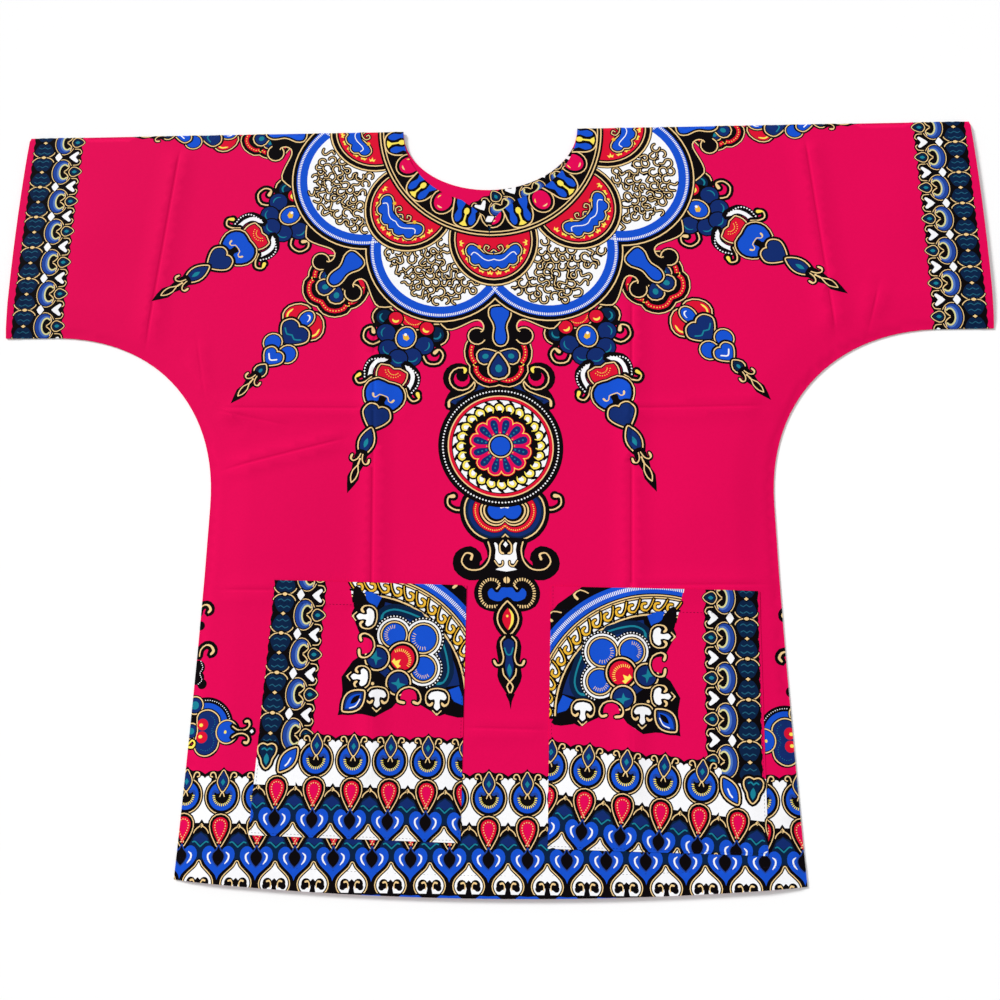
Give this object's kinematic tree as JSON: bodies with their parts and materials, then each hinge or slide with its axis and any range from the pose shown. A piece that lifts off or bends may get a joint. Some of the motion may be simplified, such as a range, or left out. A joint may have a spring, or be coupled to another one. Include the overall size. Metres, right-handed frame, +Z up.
{
  "type": "dashiki shirt",
  "caption": "Dashiki shirt in printed cotton, laid flat face up: one folded length with wide sleeves, round neck with a slit, and patch pockets.",
  "frame": {"origin": "on the surface that the shirt lies on, in the middle of its outline", "axes": "+X from the left cuff to the right cuff as seen from above, +Y from the hem to the neck, +Z up off the surface, out of the front"},
  "size_m": [1.0558, 0.802, 0.0111],
  "materials": {
    "body": "printed plain-weave cotton, matt with a faint wax sheen",
    "neck_facing": "printed plain-weave cotton offcut, matt",
    "pocket_left": "printed plain-weave cotton, matt",
    "pocket_right": "printed plain-weave cotton, matt"
  },
  "bodies": {
    "root": {"body": "body", "neck_facing": "neck_facing", "pocket_left": "pocket_left", "pocket_right": "pocket_right"}
  },
  "joints": []
}
